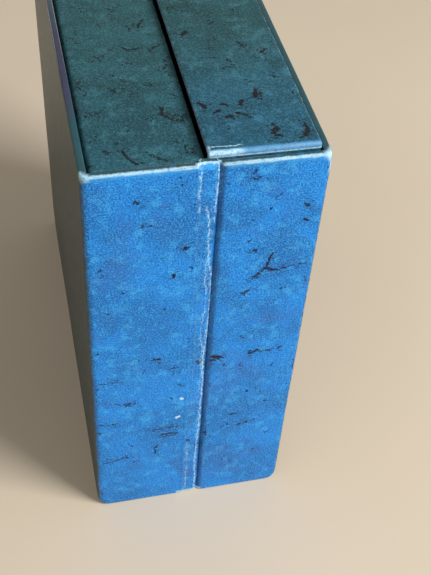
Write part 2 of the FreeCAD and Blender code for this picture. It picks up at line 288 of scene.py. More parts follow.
def ease(share: float) -> float:
    """A share held between 0 and 1, with a slow start and end."""
    held = min(1.0, max(0.0, share))
    return held * held * (3 - 2 * held)


def wobble(place: Vector, size: float, seed: float) -> float:
    """Smooth noise from -1 to 1 at a place in millimetres, with features of a size."""
    return noise.noise(place / size + Vector((seed, -seed, 2 * seed)))


# ---- materials ----

class Shader:
    """A material's node tree, with one short method for each kind of node it uses."""

    def __init__(self, name: str) -> None:
        """Start an empty material.

        Args:
            name: the material's name.
        """
        self.material = bpy.data.materials.new(name)
        self.material.use_nodes = True
        self.tree = self.material.node_tree
        self.tree.nodes.clear()

    def node(self, kind: str, feeds: dict, **settings: object) -> bpy.types.Node:
        """Add a node.

        Args:
            kind: the node's type without the "ShaderNode" in front.
            feeds: value or socket for each input, by name or number.
            settings: properties of the node.

        Returns:
            The new node.
        """
        made = self.tree.nodes.new("ShaderNode" + kind)
        for name, value in settings.items():
            setattr(made, name, value)
        for key, value in feeds.items():
            if isinstance(value, bpy.types.NodeSocket):
                self.tree.links.new(value, made.inputs[key])
            elif value is not None:
                made.inputs[key].default_value = value
        return made

    def place(self) -> bpy.types.NodeSocket:
        """Object coordinates in millimetres."""
        return self.scaled(self.node("TexCoord", {}).outputs["Object"], 1 / MM)

    def scaled(self, vector: Feed, scale: Feed) -> bpy.types.NodeSocket:
        """A vector times a number."""
        return self.node("VectorMath", {0: vector, "Scale": scale}, operation="SCALE").outputs[0]

    def vectors(self, operation: str, first: Feed, second: Feed) -> bpy.types.NodeSocket:
        """Vector arithmetic on two vectors."""
        return self.node("VectorMath", {0: first, 1: second}, operation=operation).outputs[0]

    def split(self, vector: Feed) -> tuple[bpy.types.NodeSocket, ...]:
        """The x, y and z of a vector."""
        return tuple(self.node("SeparateXYZ", {0: vector}).outputs)

    def join(self, x: Feed, y: Feed, z: Feed) -> bpy.types.NodeSocket:
        """A vector from its x, y and z."""
        return self.node("CombineXYZ", {0: x, 1: y, 2: z}).outputs[0]

    def math(self, operation: str, first: Feed, second: Feed = None) -> bpy.types.NodeSocket:
        """Arithmetic on one or two numbers."""
        return self.node("Math", {0: first, 1: second}, operation=operation).outputs[0]

    def fold(self, operation: str, values: Sequence[Feed]) -> bpy.types.NodeSocket:
        """Put several numbers together, two at a time.

        Args:
            operation: the arithmetic between each two.
            values: the numbers, in order.

        Returns:
            The result's socket.
        """
        result = values[0]
        for value in values[1:]:
            result = self.math(operation, result, value)
        return result

    def largest(self, *values: Feed) -> bpy.types.NodeSocket:
        """The largest of several numbers."""
        return self.fold("MAXIMUM", values)

    def smallest(self, *values: Feed) -> bpy.types.NodeSocket:
        """The smallest of several numbers."""
        return self.fold("MINIMUM", values)

    def product(self, *values: Feed) -> bpy.types.NodeSocket:
        """The product of several numbers."""
        return self.fold("MULTIPLY", values)

    def plus(self, *values: Feed) -> bpy.types.NodeSocket:
        """The sum of several numbers."""
        return self.fold("ADD", values)

    def minus(self, first: Feed, second: Feed) -> bpy.types.NodeSocket:
        """One number less another."""
        return self.math("SUBTRACT", first, second)

    def magnitude(self, value: Feed) -> bpy.types.NodeSocket:
        """A number without its sign."""
        return self.math("ABSOLUTE", value)

    def at_least(self, share: Feed, floor: float) -> bpy.types.NodeSocket:
        """A share from 0 to 1, squeezed to lie between a floor and 1."""
        return self.plus(self.product(share, 1 - floor), floor)

    def cloud(self, vector: Feed, size: float, detail: float = 2.0, rough: float = 0.5,
              warp: float = 0.0) -> bpy.types.NodeSocket:
        """Add smooth noise.

        Args:
            vector: the place.
            size: size of its features in millimetres.
            detail: how many finer layers it has.
            rough: how strong the finer layers are.
            warp: how far it is folded into itself.

        Returns:
            The noise, 0 to 1.
        """
        feeds = {"Vector": vector, "Scale": 1 / size, "Detail": detail, "Roughness": rough,
                 "Distortion": warp}
        return self.node("TexNoise", feeds).outputs["Fac"]

    def tremor(self, vector: Feed, size: float, span: float, detail: float = 2.0,
               rough: float = 0.5) -> bpy.types.NodeSocket:
        """Smooth noise around zero, whose lowest and highest value are a span apart."""
        return self.product(self.minus(self.cloud(vector, size, detail, rough), 0.5), span)

    def patches(self, vector: Feed, size: float, low: float, high: float, detail: float = 2.0,
                rough: float = 0.5, warp: float = 0.0) -> bpy.types.NodeSocket:
        """Patches of a size: 0 where the noise is below low and 1 where it is above high."""
        return self.rise(self.cloud(vector, size, detail, rough, warp), low, high)

    def jitter(self, vector: Feed, size: float, reach: float) -> bpy.types.NodeSocket:
        """Shake a vector by coloured noise.

        Args:
            vector: the place to shake.
            size: size of the noise's features in millimetres.
            reach: how far each coordinate may move, in millimetres.

        Returns:
            The shaken place.
        """
        shake = self.node("TexNoise", {"Vector": vector, "Scale": 1 / size, "Detail": 2.0})
        centred = self.vectors("SUBTRACT", shake.outputs["Color"], (0.5, 0.5, 0.5))
        return self.vectors("ADD", vector, self.scaled(centred, 2 * reach))

    def cells(self, vector: Feed, size: float, feature: str = "F1") -> bpy.types.Node:
        """A cellular pattern with cells of a size in millimetres."""
        return self.node("TexVoronoi", {"Vector": vector, "Scale": 1 / size}, feature=feature)

    def rise(self, value: Feed, low: float, high: float) -> bpy.types.NodeSocket:
        """A smooth step from 0 at low to 1 at high; low may be the larger."""
        feeds = {"Value": value, "From Min": low, "From Max": high}
        return self.node("MapRange", feeds, interpolation_type="SMOOTHSTEP").outputs[0]

    def mix(self, factor: Feed, first: Feed, second: Feed) -> bpy.types.NodeSocket:
        """Mix two colours.

        Args:
            factor: 0 for the first colour, 1 for the second.
            first: a colour or its socket.
            second: a colour or its socket.

        Returns:
            The mixed colour.
        """
        def full(colour: Feed) -> Feed:
            """A colour with its alpha, or its socket as it is."""
            return colour if isinstance(colour, bpy.types.NodeSocket) else (*colour, 1.0)
        return self.node("Mix", {0: factor, 6: full(first), 7: full(second)}, data_type="RGBA").outputs[2]

    def curve(self, value: Feed, points: Sequence[tuple[float, float]]) -> bpy.types.NodeSocket:
        """Read a number off a smooth line through a few points.

        Args:
            value: where to read the line, 0 to 1.
            points: the line's points, both coordinates from 0 to 1.

        Returns:
            The line's height there, 0 to 1.
        """
        made = self.node("FloatCurve", {"Value": value})
        line = made.mapping.curves[0]
        line.points[0].location = points[0]
        line.points[1].location = points[-1]
        for point in points[1:-1]:
            line.points.new(*point)
        made.mapping.update()
        return made.outputs[0]

    def stroke(self, flat: Feed, start: Sequence[float], end: Sequence[float]) -> bpy.types.NodeSocket:
        """Distance of a flat point to the straight line between two others.

        Args:
            flat: the point, as a vector whose third number is 0.
            start: the line's start in the same plane.
            end: the line's end.

        Returns:
            The distance in millimetres.
        """
        first = Vector((*start, 0.0))
        run = Vector((*end, 0.0)) - first
        offset = self.vectors("SUBTRACT", flat, first)
        along = self.node("VectorMath", {0: offset, 1: run / run.length_squared}, operation="DOT_PRODUCT")
        share = self.node("Clamp", {"Value": along.outputs["Value"]}).outputs[0]
        gap = self.vectors("SUBTRACT", offset, self.scaled(run, share))
        return self.node("VectorMath", {0: gap}, operation="LENGTH").outputs["Value"]

    def bump(self, height: Feed, depth: float, under: Feed = None) -> bpy.types.NodeSocket:
        """Surface relief from a height of 0 to 1, with a full depth in millimetres."""
        feeds = {"Height": height, "Strength": 1.0, "Distance": depth * MM, "Normal": under}
        return self.node("Bump", feeds).outputs[0]

    def paper_relief(self, place: Feed, grain: float, swell: float, sunk: Feed) -> bpy.types.NodeSocket:
        """Give paper its grain, its swells and what is sunk into it.

        Args:
            place: object coordinates in millimetres.
            grain: size of the grain.
            swell: size of the swells.
            sunk: how deep the surface lies, 0 to 1.

        Returns:
            The surface's normal.
        """
        height = self.minus(self.cloud(place, grain, 3.0, 0.7), sunk)
        return self.bump(self.cloud(place, swell), 0.5, self.bump(height, 0.10))

    def surface(self, colour: Feed, roughness: Feed, normal: Feed,
                **constants: float) -> bpy.types.Material:
        """End the tree in a Principled surface.

        Args:
            colour: base colour.
            roughness: roughness, a number or a socket.
            normal: the relief's normal.
            constants: other inputs that are the same all over, with _ for a space.

        Returns:
            The finished material.
        """
        feeds = {"Base Color": colour, "Roughness": roughness, "Normal": normal}
        for name, value in constants.items():
            feeds[name.replace("_", " ")] = value
        made = self.node("BsdfPrincipled", feeds)
        out = self.node("OutputMaterial", {})
        self.tree.links.new(made.outputs[0], out.inputs[0])
        return self.material


@dataclass(frozen=True)
class EdgeWearAndHighlight:
    """Wear beside an edge, or a painted highlight there: all of it up to a distance, and none past another."""

    bare: float
    whole: float
    strength: float = 1.0

    def paint(self, shader: Shader, distance: Feed, *within: Feed) -> bpy.types.NodeSocket:
        """Add the wear, or a painted highlight.

        Args:
            shader: the tree to add to.
            distance: how far the place is from the edge.
            within: masks that hold the wear or painted highlight to a part of the edge.

        Returns:
            How strong the wear or painted highlight is, 0 to 1.
        """
        factors = [shader.rise(distance, self.whole, self.bare), *within]
        if self.strength < 1:
            factors.append(self.strength)
        return shader.product(*factors)


@dataclass(frozen=True)
class Print:
    """The mottled printing on a sheet: three inks and the size of their clouds."""

    deep: Colour
    body: Colour
    light: Colour
    cloud: float = 24.0
    grain: float = 0.55
    grain_strength: float = 0.5

    def paint(self, shader: Shader, place: Feed) -> bpy.types.NodeSocket:
        """Add the printed colour.

        Args:
            shader: the tree to add to.
            place: object coordinates in millimetres.

        Returns:
            The colour's socket.
        """
        broad = shader.cloud(place, self.cloud, 4.0, 0.6, 0.6)
        patch = shader.cloud(place, self.cloud / 5, 3.0, 0.65)
        fine = shader.cloud(place, self.grain, 3.0, 0.8)
        wide = shader.mix(shader.rise(broad, 0.36, 0.64), self.deep, self.body)
        wide = shader.mix(shader.product(shader.rise(patch, 0.5, 0.70), 0.6), wide, self.light)
        dark = shader.product(shader.rise(fine, 0.5, 0.36), self.grain_strength)
        pale = shader.product(shader.rise(fine, 0.5, 0.64), self.grain_strength)
        wide = shader.mix(dark, wide, tuple(c * 0.55 for c in self.deep))
        return shader.mix(pale, wide, self.light)


SPINE_PRINT = Print((0.004, 0.150, 0.54), (0.006, 0.240, 0.84), (0.050, 0.46, 1.0), 26.0, 0.72, 0.95)
COVER_PRINT = Print((0.008, 0.024, 0.025), (0.017, 0.046, 0.044), (0.052, 0.108, 0.105), 30.0, 0.8, 0.7)
TRAY_PRINT = Print((0.009, 0.056, 0.066), (0.017, 0.092, 0.114), (0.048, 0.175, 0.215), 34.0, 0.8, 0.65)
TRAY_BLUE_PRINT = Print((0.008, 0.064, 0.115), (0.015, 0.108, 0.195), (0.048, 0.215, 0.350), 34.0, 0.8, 0.65)
INK_MARK: Colour = (0.001, 0.002, 0.030)
TRAY_MARK: Colour = (0.003, 0.005, 0.010)
BARE_PAPER: Colour = (0.47, 0.75, 0.95)
VIOLET_CLOUD: Colour = (0.044, 0.034, 0.080)
LILAC_CLOUD: Colour = (0.060, 0.110, 0.42)
HEAD_TEAL: Colour = (0.020, 0.085, 0.110)
HEAD_PALE: Colour = (0.100, 0.150, 0.150)
HEAD_VIOLET: Colour = (0.050, 0.036, 0.100)
# Painted highlight colour along the spine's head arris.
SPINE_HIGHLIGHT_BLUE: Colour = (0.06, 0.42, 0.85)
# Painted highlight colour along the right tray's head edge.
TRAY_HIGHLIGHT_BLUE: Colour = (0.03, 0.24, 0.58)
GROOVE_SHADE: Colour = (0.003, 0.055, 0.20)
CLOTH_DARK: Colour = (0.010, 0.022, 0.032)
Stroke = tuple[tuple[float, float], tuple[float, float], float]


@dataclass(frozen=True)
class Marks:
    """Dark printed marks: listed ragged strokes and scattered specks and cracks."""

    strokes: tuple[Stroke, ...]
    speck_cell: float
    speck_share: float
    crack_cell: float
    crack_mask: float

    def scatter(self, shader: Shader, place: Feed) -> bpy.types.NodeSocket:
        """Add specks and broken cracks all over.

        Args:
            shader: the tree to add to.
            place: object coordinates in millimetres.

        Returns:
            How dark they are, 0 to 1.
        """
        shaken = shader.jitter(place, 1.6, 1.3)
        cell = shader.cells(shaken, self.speck_cell)
        chance = shader.split(cell.outputs["Color"])[0]
        radius = shader.product(shader.rise(chance, 1 - self.speck_share, 1.0), 0.12)
        gap = shader.minus(cell.outputs["Distance"], radius)
        edges = shader.cells(shader.jitter(place, 2.6, 1.8), self.crack_cell, "DISTANCE_TO_EDGE")
        thin = shader.rise(edges.outputs["Distance"], 0.06, 0.02)
        where = shader.patches(place, 9.0, self.crack_mask, self.crack_mask + 0.04, 3.0, 0.65)
        return shader.largest(shader.rise(gap, 0.02, -0.02), shader.product(thin, where))

    def placed(self, shader: Shader, place: Feed, flat: Feed) -> bpy.types.NodeSocket:
        """Add the listed strokes, with ragged outlines and flecks beside them.

        Args:
            shader: the tree to add to.
            place: object coordinates in millimetres.
            flat: the strokes' own two coordinates, as a vector.

        Returns:
            How dark they are, 0 to 1.
        """
        loose = shader.jitter(flat, 1.8, 0.9)
        outside = shader.smallest(*(shader.minus(shader.stroke(loose, start, end), width)
                                    for start, end, width in self.strokes))
        long = shader.vectors("MULTIPLY", place, (0.5, 1.0, 1.0))
        ragged = shader.tremor(long, 0.8, 3.2, 3.0, 0.75)
        body = shader.rise(shader.plus(outside, ragged), 0.14, -0.12)
        flecks = shader.patches(long, 1.0, 0.57, 0.63, 2.0, 0.7, 0.8)
        return shader.largest(body, shader.product(flecks, shader.rise(outside, 4.4, 0.8)))

    def paint(self, shader: Shader, place: Feed, flat: Feed, where: Feed) -> bpy.types.NodeSocket:
        """Add all the marks.

        Args:
            shader: the tree to add to.
            place: object coordinates in millimetres.
            flat: the strokes' own two coordinates, as a vector.
            where: the part of the piece that carries the strokes, 0 to 1.

        Returns:
            How dark the marks are, 0 to 1.
        """
        strokes = shader.product(self.placed(shader, place, flat), where)
        found = shader.largest(self.scatter(shader, place), strokes)
        return shader.product(found, shader.at_least(shader.patches(place, 0.7, 0.3, 0.5), 0.6))


# Strokes on the spine's face: start and end as (x, z), and half the width.
SPINE_STROKES: tuple[Stroke, ...] = (
    ((29, 176), (27, 169), 0.55), ((27, 168), (21.5, 162.5), 0.7), ((26, 168), (32, 165.6), 0.6),
    ((32, 165.6), (37, 167.3), 0.4), ((37, 167.3), (44, 168), 0.22), ((21, 155.5), (17.5, 153), 0.6),
    ((7.6, 113), (10.5, 112), 1.2), ((6.6, 110.6), (8.6, 110.2), 0.7), ((0.2, 111), (2.2, 109.4), 0.7),
    ((24.5, 112), (28, 114), 0.8), ((29, 112.6), (38, 113), 0.35), ((15, 57), (18, 58), 0.35),
    ((22, 56), (31.5, 59), 0.45), ((19, 66), (21.5, 66.2), 0.55), ((6.6, 54), (6.8, 51.5), 0.7),
    ((-19.7, 117), (-17.2, 116), 0.75), ((-12, 108.4), (-8.6, 108.8), 0.5), ((-20.5, 62), (-8, 62.6), 0.4),
    ((-15, 57.4), (-8, 57), 0.6), ((-17.3, 49), (-18.7, 46), 0.5), ((-18.7, 46), (-18.3, 41.5), 0.5),
    ((-2.6, 49.6), (-1.4, 48.6), 0.6), ((-27.8, 212), (-26.6, 211), 0.55), ((-8.4, 184.2), (-6.8, 185), 0.65),
    ((-12.3, 170), (-11.8, 168.4), 0.6), ((20.6, 179), (22, 178.4), 0.5), ((40, 201.4), (41.2, 200.6), 0.6),
    ((40.4, 193.4), (42, 192.8), 0.6), ((-46, 72), (-36, 71.4), 0.22), ((-45, 104), (-33, 103.4), 0.18),
    ((-44, 39), (-31, 42), 0.32), ((-36, 41), (-30, 42), 0.4), ((-23, 199), (-22, 198.4), 0.5),
)
# Strokes on the trays' head walls: start and end as (x, y), and half the width.
LEFT_TRAY_STROKES: tuple[Stroke, ...] = (
    ((-8, -8), (-11, -14), 0.6), ((-21, -27), (-18, -30), 0.45), ((-18, -30), (-13, -30), 0.5),
    ((-9, -32), (-5, -29), 0.55), ((-11, -72), (-11.5, -76), 0.9), ((-11, -76), (-9, -79), 0.5),
    ((-9, -79), (-5, -81), 0.4), ((-30, -95), (-29, -100), 0.5), ((-29, -100), (-26, -104), 0.55),
    ((-37, -71), (-36, -72), 0.5), ((-20, -100), (-14, -104), 0.5), ((-24, -51), (-23, -52), 0.35),
)
RIGHT_TRAY_STROKES: tuple[Stroke, ...] = (
    ((28.4, -93), (29.6, -96), 0.9), ((29.2, -96), (27.2, -98.4), 1.1), ((27, -99), (29.4, -100), 0.6),
    ((40.6, -94), (41.2, -98), 0.7), ((41, -98), (39, -101), 0.9), ((40, -101.6), (36.6, -102.6), 0.5),
    ((14, -86), (12, -86), 1.1), ((8, -83), (10, -82), 0.8), ((12, -78), (13.5, -79), 0.7),
    ((19, -79), (20, -77), 1.0), ((27, -71), (26, -75), 1.0), ((3, -76), (5, -79), 0.9),
    ((6, -28), (7.5, -26), 0.9), ((19, -21), (20.5, -20), 0.6), ((28, -37), (30, -41), 0.45),
    ((36, -45), (38, -43), 0.8), ((20.5, -49), (22, -50), 0.5), ((16, -84), (20, -86), 0.6),
)


@dataclass(frozen=True)
class Crease:
    """One line along the joint where the paper has cracked white, as (z, x) points."""

    points: tuple[tuple[float, float], ...]
    width: float
    strength: float
    REACH = 6.0
    FADE_OUT = 3
    FADE_IN = 1

    def trace(self, shader: Shader, x: Feed, z: Feed, top: float) -> tuple[Feed, Feed]:
        """Follow the line up the joint.

        Args:
            shader: the tree to add to.
            x: place across the joint.
            z: height.
            top: the joint's full height.

        Returns:
            The distance to the line in millimetres, and a mask that ends where it ends.
        """
        places = [(level / top, (across + self.REACH) / (2 * self.REACH)) for level, across in self.points]
        line = shader.curve(shader.math("DIVIDE", z, top), places)
        centred = shader.minus(shader.product(line, 2 * self.REACH), self.REACH)
        gap = shader.magnitude(shader.minus(x, centred))
        first, last = self.points[0][0], self.points[-1][0]
        ends = shader.product(shader.rise(z, first - self.FADE_OUT, first + self.FADE_IN),
                              shader.rise(z, last + self.FADE_OUT, last - self.FADE_IN))
        return gap, ends


CREASES = (
    Crease(((0, 2.4), (11, 3.0), (25, 2.4), (45, 2.5), (62, 3.2), (75, 3.1), (92, 3.6), (109, 2.8),
            (124, 3.5), (136, 3.9), (150, 4.1), (166, 3.7), (176, 2.2), (186, 1.6), (196, 1.3),
            (204, 0.2)), 0.42, 1.0),
    Crease(((112, 1.6), (122, 1.9), (130, 0.7), (140, 1.6), (155, 2.0), (165, 1.1), (178, 2.2)), 0.30, 0.75),
    Crease(((60, 1.4), (70, 2.2), (84, 1.5), (98, 2.3), (112, 1.4)), 0.22, 0.5),
    Crease(((198, 3.3), (207, 3.7), (218, 4.1), (226, 3.7)), 0.42, 0.9),
    Crease(((0, -2.4), (20, -1.9), (45, -2.2)), 0.36, 0.95),
    Crease(((45, -2.2), (100, -1.6), (160, -2.0), (204, -2.9)), 0.22, 0.18),
    Crease(((204, -2.9), (214, -3.2), (226, -2.7)), 0.55, 0.65),
)


@dataclass(frozen=True)
class CasePaper:
    """Printed paper of the case: blue on the spine, dark green on the covers, worn at its edges, with a painted
    highlight along the spine's head and painted shade in the groove.
    """

    half_width: float
    front: float
    top: float
    groove: float
    HEAD_EDGE = EdgeWearAndHighlight(0.5, 1.5, 0.85)
    TAIL_EDGE = EdgeWearAndHighlight(0.1, 0.5, 0.5)
    TAIL_CORNERS = EdgeWearAndHighlight(0.6, 1.8, 0.6)
    CORNERS = EdgeWearAndHighlight(3.0, 6.5)
    JOINT_HEAD = EdgeWearAndHighlight(0.4, 1.0)
    JOINT_TAIL = EdgeWearAndHighlight(1.6, 3.2)
    RIGHT_ARRIS = EdgeWearAndHighlight(0.5, 0.9, 0.35)
    RIGHT_STREAK = EdgeWearAndHighlight(0.7, 1.5, 0.85)
    UPPER_PART = EdgeWearAndHighlight(6.0, 11.0)
    FIRST_CHIP = ((-6.4, 85.0), (-5.9, 84.6))
    SECOND_CHIP = ((-8.2, 70.0), (-7.0, 70.4))

    def creases(self, shader: Shader, place: Feed, x: Feed, z: Feed) -> bpy.types.NodeSocket:
        """Add the white cracks along the joint.

        Args:
            shader: the tree to add to.
            place: object coordinates in millimetres.
            x: the place's x.
            z: the place's z.

        Returns:
            How bare the paper is, 0 to 1.
        """
        across = shader.plus(x, shader.tremor(place, 2.2, 3.0, 3.0, 0.75))
        bands, halos = [], []
        for number, crease in enumerate(CREASES):
            gap, ends = crease.trace(shader, across, z, self.top)
            broken = shader.patches(shader.join(0.0, number * 9.0, z), 5.0, 0.32, 0.55, 3.0, 0.7)
            core = shader.rise(gap, crease.width, crease.width * 0.35)
            bands.append(shader.product(core, broken, ends, crease.strength))
            halos.append(shader.product(shader.rise(gap, 1.7, 0.3), ends, crease.strength))
        flakes = shader.patches(place, 0.7, 0.34, 0.56, 2.0, 0.7)
        cells = shader.cells(shader.jitter(place, 1.5, 0.6), 1.9, "DISTANCE_TO_EDGE")
        crackle = shader.rise(cells.outputs["Distance"], 0.10, 0.03)
        clusters = shader.patches(place, 5.0, 0.44, 0.60, 3.0, 0.6)
        fine = shader.product(crackle, shader.largest(*halos), clusters, 0.75)
        return shader.largest(shader.product(shader.largest(*bands), flakes), shader.product(fine, flakes))

    def wear(self, shader: Shader, place: Feed, x: Feed, y: Feed, z: Feed) -> bpy.types.NodeSocket:
        """Add the places that are rubbed through: the edges, the corners and the joint's ends.

        Args:
            shader: the tree to add to.
            place: object coordinates in millimetres.
            x: the place's x.
            y: the place's y.
            z: the place's z.

        Returns:
            How bare the paper is, 0 to 1.
        """
        across = shader.magnitude(x)
        shaken = shader.tremor(place, 2.6, 1.8, 3.0, 0.7)
        behind = shader.minus(y, self.front)
        below = shader.minus(self.top, z)
        beside = shader.minus(self.half_width, across)
        inner = shader.minus(across, self.groove)
        corner = shader.plus(shader.plus(behind, below, beside), shader.product(shaken, 1.5))
        edges = {
            "head": shader.largest(behind, below),
            "right": shader.largest(shader.minus(self.half_width, x), behind),
            "tail corner": shader.largest(behind, z, beside),
            "tail": shader.largest(behind, z),
            "joint head": shader.largest(below, inner, shader.minus(behind, 1.9)),
            "joint tail": shader.largest(z, inner),
        }
        away = {name: shader.plus(distance, shaken) for name, distance in edges.items()}
        upper = self.UPPER_PART.paint(shader, below)
        spots = shader.largest(
            self.CORNERS.paint(shader, corner),
            self.JOINT_HEAD.paint(shader, away["joint head"]),
            self.RIGHT_STREAK.paint(shader, away["right"], upper),
            self.RIGHT_ARRIS.paint(shader, away["right"]),
            self.JOINT_TAIL.paint(shader, away["joint tail"]),
            self.TAIL_CORNERS.paint(shader, away["tail corner"]),
            self.TAIL_EDGE.paint(shader, away["tail"]))
        line = self.HEAD_EDGE.paint(shader, away["head"])
        fibre = shader.patches(place, 0.9, 0.3, 0.55, 3.0, 0.7)
        return shader.product(shader.largest(line, spots), shader.at_least(fibre, 0.5))

    def chips(self, shader: Shader, flat: Feed) -> bpy.types.NodeSocket:
        """Add two small chips of paper missing beside the joint.

        Args:
            shader: the tree to add to.
            flat: the place's x and z, as a vector.

        Returns:
            How bare the paper is, 0 to 1.
        """
        loose = shader.jitter(flat, 1.0, 0.8)
        first = EdgeWearAndHighlight(0.7, 1.0).paint(shader, shader.stroke(loose, *self.FIRST_CHIP))
        second = EdgeWearAndHighlight(0.6, 1.0).paint(shader, shader.stroke(loose, *self.SECOND_CHIP))
        return shader.largest(first, second)

    def make(self) -> bpy.types.Material:
        """Make the material of the case's outer paper and of the paper over the joint.

        Returns:
            The finished material.
        """
        shader = Shader("case_paper")
        place = shader.place()
        x, y, z = shader.split(place)
        flat = shader.join(x, z, 0.0)
        loose = shader.tremor(place, 4.0, 1.2)
        across = shader.plus(shader.magnitude(x), loose)
        level = shader.plus(z, loose)
        spine = shader.product(shader.rise(across, self.half_width, self.half_width - 1.6),
                               shader.rise(y, self.front + 3.4, self.front + 2.2),
                               shader.rise(level, self.top - 0.1, self.top - 0.9))
        blue = SPINE_PRINT.paint(shader, place)
        cover = COVER_PRINT.paint(shader, place)
        violet = shader.product(shader.patches(place, 26.0, 0.50, 0.64, 4.0, 0.6), 0.4)
        cover = shader.mix(violet, cover, VIOLET_CLOUD)
        edge = shader.product(shader.rise(level, self.top - 1.6, self.top - 0.6), 0.8)
        pale = shader.rise(y, self.front + 90, self.front + 150)
        rim = shader.mix(pale, HEAD_TEAL, HEAD_PALE)
        bruise = shader.product(shader.rise(y, self.front + 28, self.front + 50),
                                shader.minus(1.0, pale), shader.rise(x, 0.0, -1.0), 0.75)
        cover = shader.mix(edge, cover, shader.mix(bruise, rim, HEAD_VIOLET))
        colour = shader.mix(spine, cover, blue)
        lilac = shader.product(shader.patches(place, 30.0, 0.54, 0.68, warp=1.0), spine, 0.16)
        colour = shader.mix(lilac, colour, LILAC_CLOUD)
        # Painted highlight: light blue along the spine's head arris, fading downwards.
        sky = shader.product(shader.rise(level, self.top - 3.2, self.top - 1.4), spine, 0.45)
        colour = shader.mix(sky, colour, SPINE_HIGHLIGHT_BLUE)
        beside = shader.magnitude(shader.minus(x, self.groove + 0.9))
        beside = shader.plus(beside, shader.tremor(place, 12.0, 2.0))
        shade = shader.product(shader.rise(beside, 2.6, 0.5), spine, 0.55)
        colour = shader.mix(shade, colour, GROOVE_SHADE)
        on_face = shader.rise(y, self.front + 4, self.front + 2)
        marks = Marks(SPINE_STROKES, 6.5, 0.28, 5.0, 0.63).paint(shader, place, flat, on_face)
        colour = shader.mix(marks, colour, INK_MARK)
        worn = shader.largest(self.wear(shader, place, x, y, z), self.creases(shader, place, x, z),
                              self.chips(shader, flat))
        colour = shader.mix(worn, colour, BARE_PAPER)
        normal = shader.paper_relief(place, 0.5, 7.0, shader.product(worn, 0.3))
        rough = shader.plus(shader.product(shader.cloud(place, 6.0, 3.0), 0.16), 0.30,
                            shader.product(spine, 0.12), shader.product(worn, 0.35))
        return shader.surface(colour, rough, normal, Specular_IOR_Level=0.27, Coat_Weight=0.06,
                              Coat_Roughness=0.2)


